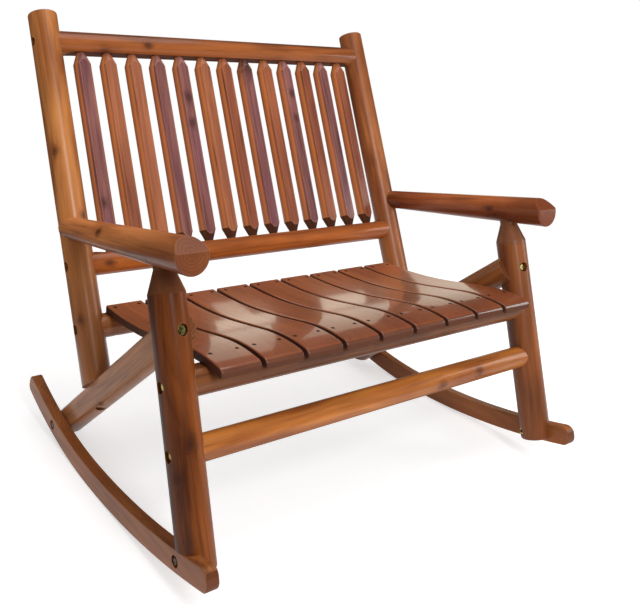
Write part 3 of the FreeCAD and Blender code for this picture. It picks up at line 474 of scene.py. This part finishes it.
# painted shade: the slats' noses and the faces along their gaps are darkened, and their edges dark
slatLook = stain((186, 110, 68), (132, 72, 44), (168, 88, 60), pithOffset=(0.0, 0.06), ringsPerMetre=260,
                 cut=paint(104, 52, 32), cutShare=0.6, cutSpan=((0, -0.12, 0), (0, -0.33, 0)),
                 streakScale=(110, 8, 4), fibreScale=(320, 12, 10), lineScale=(150, 8, 5),
                 blushScale=(16, 8, 5), figure=0.2, patches=0.9, streaks=0.8, fibres=0.3, lineShare=0.15,
                 knotChance=0.0, wear=paint(74, 34, 22), wearShare=0.6, grit=0.01, swell=0.08,
                 roughness=0.34, shine=0.35, coat=0.85, coatRoughness=0.09, under=paint(60, 30, 18),
                 underSpan=(-0.5, -0.15), underShare=0.88, grain=(0, 1, 0), seedStep=5.9)
for number in range(1, 10):
    dressWood("seat_slat_%d" % number, slatLook, number)
print("slats finished")

rockerLook = stain((176, 106, 56), (122, 68, 34), (150, 84, 46), pithOffset=(0.03, 0.05), ringsPerMetre=220,
                   shine=0.12, coat=0.2, wearShare=0.15, grain=(0, 1, 0), seedStart=200.0, seedStep=7)
for number, name in enumerate(("rocker_left", "rocker_right")):
    dressWood(name, rockerLook, number)
print("rockers finished")

metalLook = {
    "colour": paint(214, 206, 128),
    "dark": paint(66, 56, 30),        # where grime has settled, and between the painted glints
    "grimeScale": (90, 90, 90),
    "grimeSpan": (0.35, 0.7),
    "grimeMatt": 0.3,
    "roughness": 0.34,
    "scratchScale": (900, 260, 900),
    "scratchStrength": 0.4,
    "scratchDepth": 0.0003,
}
metalLooks = {
    "zincSteel": metalLook,
    # painted shade: the rocker and foot bolts sit deep in their holes and are coloured darker
    "dullSteel": dict(metalLook, colour=paint(82, 60, 38), dark=paint(32, 24, 16), roughness=0.45),
    "brassNut": dict(metalLook, colour=paint(196, 172, 104), dark=paint(120, 92, 50)),
    "darkScrew": dict(metalLook, colour=paint(78, 60, 50), dark=paint(46, 34, 28), roughness=0.5),
}


def metalFinish(name, look):
    finish = Finish(bpy.data.materials.new(name))
    place = finish.node("ShaderNodeTexCoord", output="Object")
    # patches that are partly grime and partly painted glint
    grime = finish.noise(place, look["grimeScale"], 0.0, 3.0)
    scratch = finish.noise(place, look["scratchScale"], 4.0, 2.0)
    bump = finish.node("ShaderNodeBump", {}, {
        "Height": scratch,
        "Strength": look["scratchStrength"],
        "Distance": look["scratchDepth"],
    })
    shader = finish.node("ShaderNodeBsdfPrincipled", {}, {
        "Base Color": finish.blend(grime.smooth(*look["grimeSpan"]), look["colour"], look["dark"]),
        "Metallic": 1.0,
        "Roughness": grime.swing(look["grimeMatt"]) + look["roughness"],
        "Normal": bump,
    })
    return finish.close(shader)


metals = {name: metalFinish(name, look) for name, look in metalLooks.items()}
for name in nodes:
    if "nuts" in name:
        dress(name, metals["brassNut"])
    elif "bolts" in name or "washers" in name:
        dress(name, metals["dullSteel" if "rocker" in name or "foot" in name else "zincSteel"])
    elif "screws" in name:
        dress(name, metals["darkScrew"])
print("metal finished")

studio = {
    "floorSize": 30.0,
    "floorColour": (0.74, 0.74, 0.74, 1.0),
    "mottleColour": (0.7, 0.7, 0.7, 1.0),
    "mottleScale": (3, 3, 3),
    "mottleShare": 0.1,
    "floorGlow": 0.55,                # what the camera sees on top of the lit floor
    "whiteFrom": 1.3,                 # metres from the bench where the floor turns plain white
    "whiteTo": 2.6,
    "ambient": 0.45,
    "clothColour": (0.01, 0.01, 0.01, 1.0),
    "cardColour": (1.0, 0.93, 0.76, 1.0),
}
white = (1.0, 1.0, 1.0, 1.0)


def quad(name, corners, material):
    mesh = bpy.data.meshes.new(name)
    mesh.from_pydata(corners, [], [(0, 1, 2, 3)])
    mesh.materials.append(material)
    made = bpy.data.objects.new(name, mesh)
    bpy.context.scene.collection.objects.link(made)
    return made


def seenWhite(finish):
    # 1 for rays from the camera, and for those that gloss and glass send on
    camera, gloss, glass = (finish.node("ShaderNodeLightPath", output="Is %s Ray" % kind)
                            for kind in ("Camera", "Glossy", "Transmission"))
    return camera.greater(gloss).greater(glass)


def layFloor():
    finish = Finish(bpy.data.materials.new("paleFloor"))
    place = finish.node("ShaderNodeTexCoord", output="Object")
    mottle = finish.noise(place, studio["mottleScale"], 0.0, 2.0) * studio["mottleShare"]
    matt = finish.node("ShaderNodeBsdfDiffuse", {}, {
        "Color": finish.blend(mottle, studio["floorColour"], studio["mottleColour"])})
    lit = finish.node("ShaderNodeAddShader", {}, {0: matt, 1: finish.glow(white, studio["floorGlow"])})
    far = finish.length(place).smooth(studio["whiteFrom"], studio["whiteTo"])
    seen = finish.either(far, lit, finish.glow(white, 1.0))
    shown = finish.either(seenWhite(finish), matt, seen)
    half = studio["floorSize"] / 2
    corners = [(-half, -half, 0), (half, -half, 0), (half, half, 0), (-half, half, 0)]
    quad("floor", corners, finish.close(shown))


# black cloths round the bench that only gloss sees, so its varnish mirrors the floor, lamps and cards
cloths = {
    "frontCloth": [(-4, -4, 0), (6, -4, 0), (6, -4, 4), (-4, -4, 4)],
    "leftCloth": [(-4, -4, 0), (-4, 2.2, 0), (-4, 2.2, 4), (-4, -4, 4)],
    "rightCloth": [(6, -4, 0), (6, 2.2, 0), (6, 2.2, 4), (6, -4, 4)],
    "topCloth": [(-4, -4, 4), (6, -4, 4), (6, 2.2, 4), (-4, 2.2, 4)],
    "lowCloth": [(-4, 0.8, 0), (-0.62, 0.8, 0), (-0.62, 0.8, 1.2), (-4, 0.8, 1.2)],
    "backCloth": [(-4, 2.2, 0), (6, 2.2, 0), (6, 2.2, 4), (-4, 2.2, 4)],
}
# warm white cards, seen from the bench's front only, that lie on the seat as its pale patches:
# how far back each hangs, how bright it is, and its corners across and up
cards = {
    "card1": (2.1, 1.12, [(1.02, 0.30), (1.46, 0.30), (1.38, 0.66), (1.00, 0.66)]),
    "card2": (2.1, 1.05, [(1.07, 0.66), (1.26, 0.66), (1.20, 1.02), (1.04, 1.02)]),
    "card3": (2.1, 1.1, [(1.74, 0.30), (2.08, 0.30), (2.12, 0.76), (1.76, 0.76)]),
    "card4": (2.1, 0.95, [(2.57, 0.30), (3.40, 0.30), (3.64, 1.60), (2.60, 1.60)]),
    "nearCard1": (0.12, 0.95, [(-0.20, 0.445), (-0.01, 0.445), (0.06, 0.76), (-0.18, 0.76)]),
    "nearCard2": (0.12, 0.9, [(0.17, 0.445), (0.43, 0.445), (0.43, 0.70), (0.14, 0.70)]),
}


def cardFinish(name, strength):
    finish = Finish(bpy.data.materials.new(name))
    shining = finish.glow(studio["cardColour"], strength)
    clear = finish.node("ShaderNodeBsdfTransparent")
    behind = finish.node("ShaderNodeNewGeometry", output="Backfacing")
    return finish.close(finish.either(behind, shining, clear))


def hang(name, corners, material):
    made = quad(name, corners, material)
    made.visible_camera = False
    made.visible_diffuse = False
    made.visible_transmission = False
    made.visible_shadow = False


def hangCloths():
    finish = Finish(bpy.data.materials.new("blackCloth"))
    black = finish.close(finish.node("ShaderNodeBsdfDiffuse", {}, {"Color": studio["clothColour"]}))
    for name, corners in cloths.items():
        hang(name, corners, black)
    for name, (depth, strength, corners) in cards.items():
        hang(name, [(across, depth, up) for across, up in corners], cardFinish(name, strength))


def fillWorld():
    made = bpy.data.worlds.new("studio")
    bpy.context.scene.world = made
    finish = Finish(made)
    plain = finish.node("ShaderNodeBackground", {}, {"Color": white, "Strength": 1.0})
    soft = finish.node("ShaderNodeBackground", {}, {"Color": white, "Strength": studio["ambient"]})
    finish.close(finish.either(seenWhite(finish), soft, plain), "ShaderNodeOutputWorld")


lamps = {
    "keyLight": {"place": (-0.6, -3.0, 2.3), "target": (0, 0, 0.5), "size": (0.8, 1.8), "power": 60},
    "topLight": {"place": (0.2, 0.0, 3.2), "target": (0, 0, 0.5), "size": (2.4, 2.0), "power": 34},
    "sideLight": {"place": (2.8, -1.7, 1.3), "target": (0, 0, 0.5), "size": (0.8, 1.4), "power": 20},
}


def hangLamps():
    for name, lamp in lamps.items():
        light = bpy.data.lights.new(name, "AREA")
        light.shape = "RECTANGLE"
        light.size, light.size_y = lamp["size"]
        light.energy = lamp["power"]
        made = bpy.data.objects.new(name, light)
        made.location = lamp["place"]
        made.rotation_euler = (Vector(lamp["target"]) - made.location).to_track_quat("-Z", "Y").to_euler()
        made.visible_camera = False
        bpy.context.scene.collection.objects.link(made)


layFloor()
hangCloths()
fillWorld()
hangLamps()
print("studio ready")

# the camera: where it stands, in metres, how far it is turned, dipped and rolled, in degrees,
# and its lens and sensor, in millimetres
view = {
    "place": (-1.21295, -1.47857, 1.05828),
    "turn": -36.083,
    "dip": 13.395,
    "roll": 4.311,
    "lens": 44.229,
    "sensor": 36,
    "shift": (0.09375, -0.14141),
}


def aim():
    turn, dip, roll = (math.radians(view[key]) for key in ("turn", "dip", "roll"))
    forward = Vector((-math.sin(turn) * math.cos(dip), math.cos(turn) * math.cos(dip), -math.sin(dip)))
    right = Vector((math.cos(turn), math.sin(turn), 0))
    up = right.cross(forward)
    rightRolled = right * math.cos(roll) + up * math.sin(roll)
    upRolled = up * math.cos(roll) - right * math.sin(roll)
    axes = Matrix((rightRolled, upRolled, -forward)).transposed().to_4x4()
    lens = bpy.data.cameras.new("camera")
    lens.lens = view["lens"]
    lens.sensor_width = view["sensor"]
    lens.shift_x, lens.shift_y = view["shift"]
    made = bpy.data.objects.new("camera", lens)
    made.matrix_world = Matrix.Translation(view["place"]) @ axes
    bpy.context.scene.collection.objects.link(made)
    bpy.context.scene.camera = made


aim()
bpy.context.scene.view_settings.view_transform = "Standard"
